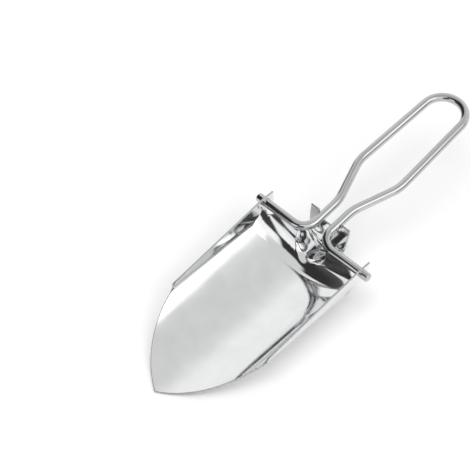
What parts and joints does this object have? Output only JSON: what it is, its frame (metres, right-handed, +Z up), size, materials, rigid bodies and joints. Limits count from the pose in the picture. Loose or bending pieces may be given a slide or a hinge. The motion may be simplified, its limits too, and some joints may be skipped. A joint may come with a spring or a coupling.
{
  "type": "camp shovel",
  "caption": "Folding camp trowel: pointed polished sheet dish with side flanges, drilled ears and a notched lock plate, and a bent wire loop handle that swings over the dish.",
  "frame": {"origin": "bottom centre of the overall box, on the ground under the middle of the open tool", "axes": "+X from the point of the blade back along the handle, +Y to the left ear, +Z up out of the hollow of the dish"},
  "size_m": [0.2578, 0.086, 0.0393],
  "materials": {
    "polished_sheet": "mirror-polished stainless sheet",
    "polished_wire": "polished stainless wire"
  },
  "bodies": {
    "blade": {"blade": "polished_sheet"},
    "handle": {"handle": "polished_wire"}
  },
  "joints": [
    {"name": "handle_fold", "type": "hinge", "parent": "blade", "child": "handle", "pos_m": [-0.00194, 0, 0.022], "axis": [0, -1, 0], "range_deg": [0, 178]}
  ]
}
